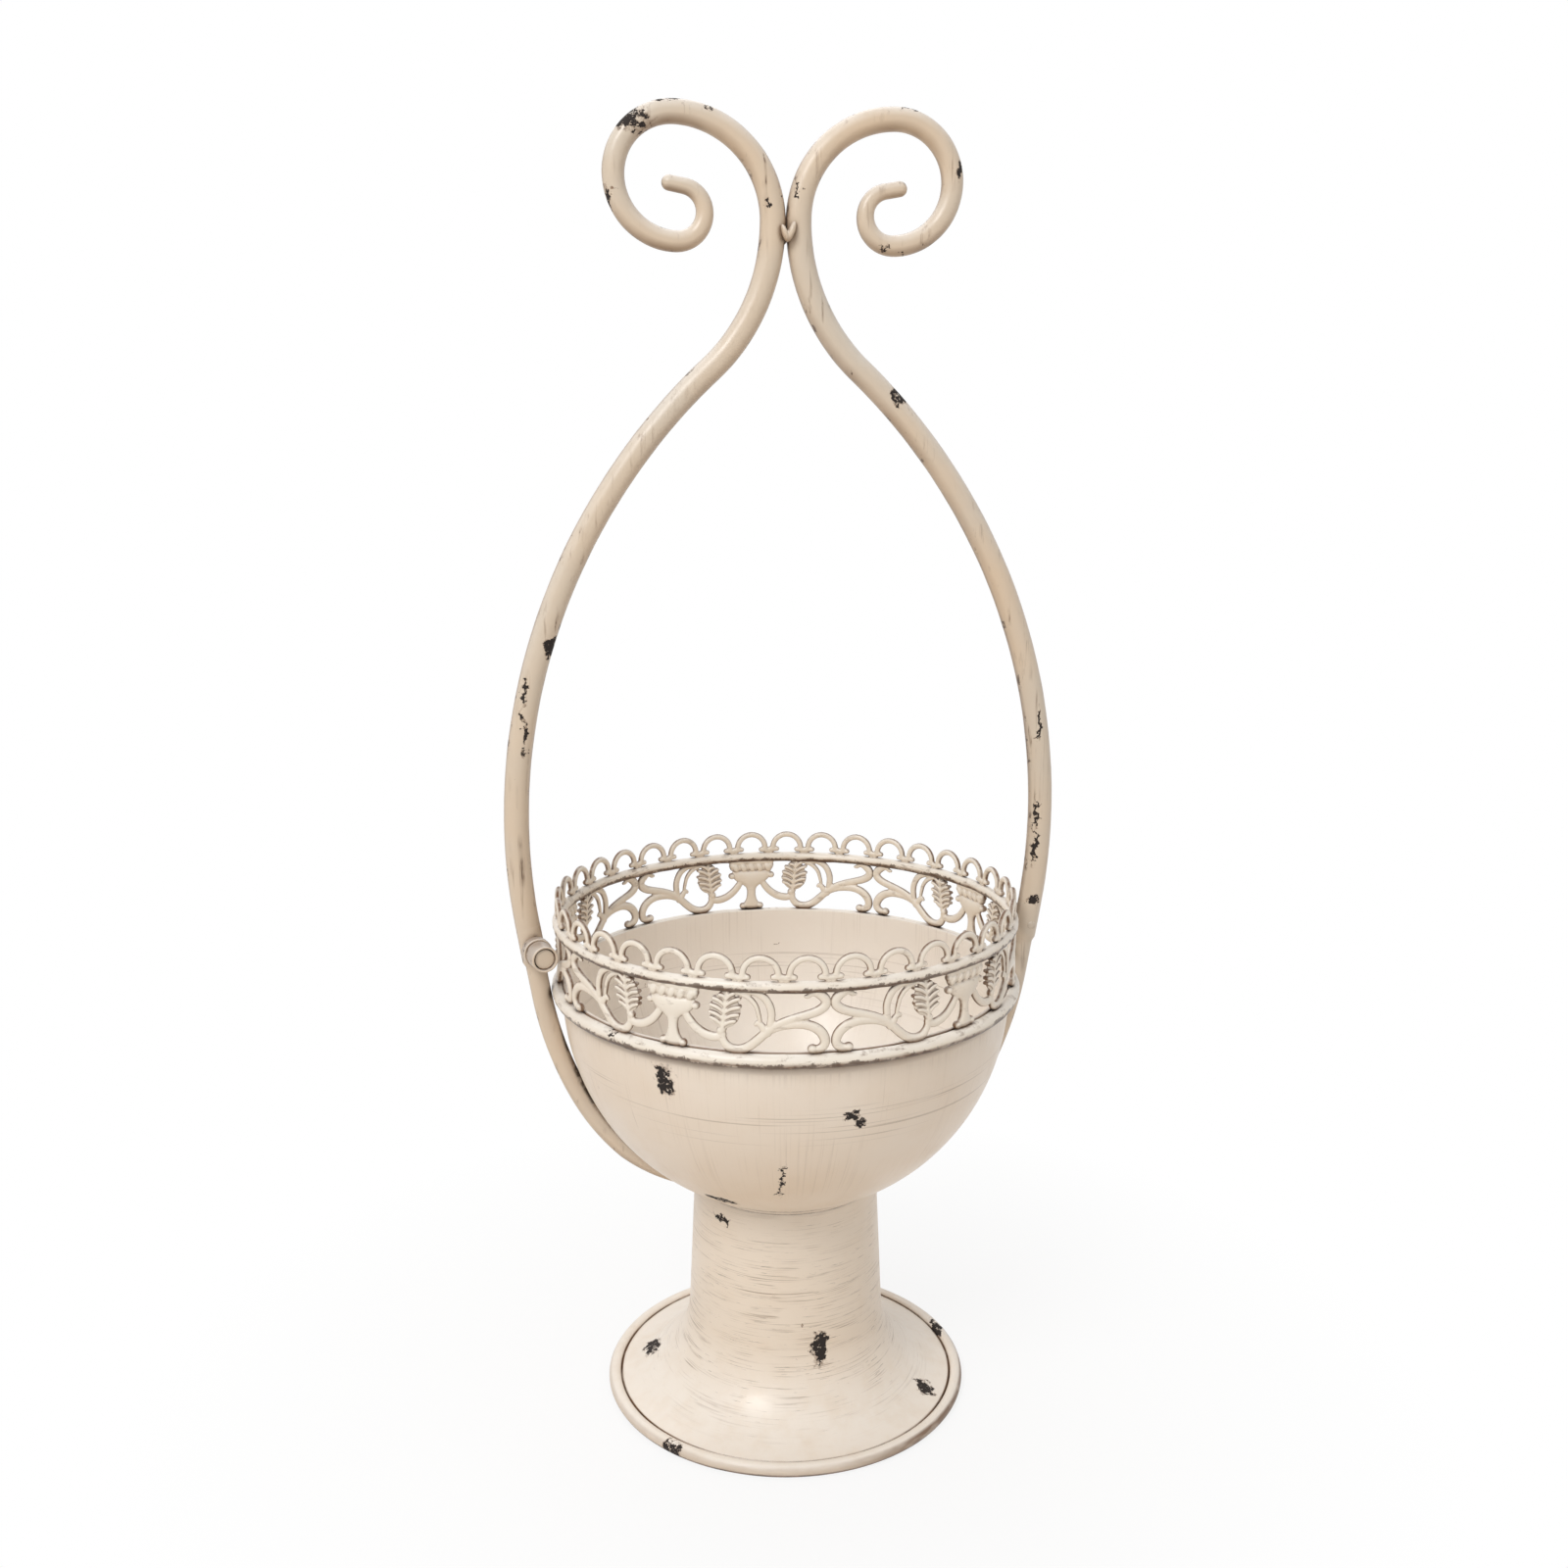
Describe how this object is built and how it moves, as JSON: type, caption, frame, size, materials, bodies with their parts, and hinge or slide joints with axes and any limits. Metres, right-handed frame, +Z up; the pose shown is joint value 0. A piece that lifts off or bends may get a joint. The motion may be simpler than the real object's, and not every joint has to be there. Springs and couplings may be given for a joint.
{
  "type": "urn planter with basket handle",
  "caption": "Round metal urn planter on a hollow flared pedestal, with an openwork scalloped gallery and a tall handle of two scrolled round bars.",
  "frame": {"origin": "on the floor under the middle of the foot", "axes": "+Z up, +X along the row of the handle's two bars, +Y to the back"},
  "size_m": [0.2898, 0.2472, 0.6688],
  "materials": {
    "pedestal_paint": "brushed cream enamel, worn, satin",
    "bowl_paint": "brushed cream enamel, worn, satin",
    "gallery_paint": "cream enamel on cast metal, worn, satin",
    "bar_paint": "cream enamel on steel bar, chipped, satin"
  },
  "bodies": {
    "root": {"pedestal": "pedestal_paint", "foot_lip": "pedestal_paint", "neck_braze": "pedestal_paint", "bowl": "bowl_paint", "lower_ring": "gallery_paint", "gallery_panel_1": "gallery_paint", "gallery_panel_2": "gallery_paint", "gallery_panel_3": "gallery_paint", "gallery_panel_4": "gallery_paint", "gallery_panel_5": "gallery_paint", "gallery_crest_1": "gallery_paint", "gallery_crest_2": "gallery_paint", "gallery_crest_3": "gallery_paint", "gallery_crest_4": "gallery_paint", "gallery_crest_5": "gallery_paint", "top_ring": "gallery_paint", "handle_bar_left": "bar_paint", "handle_bar_right": "bar_paint", "crown_weld": "bar_paint", "strap_left": "bar_paint", "strap_right": "bar_paint", "joint_collar_left": "bar_paint", "joint_collar_right": "bar_paint", "joint_barrel_left": "bar_paint", "joint_barrel_right": "bar_paint", "joint_cap_left": "bar_paint", "joint_cap_right": "bar_paint", "joint_pin_left": "bar_paint", "joint_pin_right": "bar_paint"}
  },
  "joints": []
}
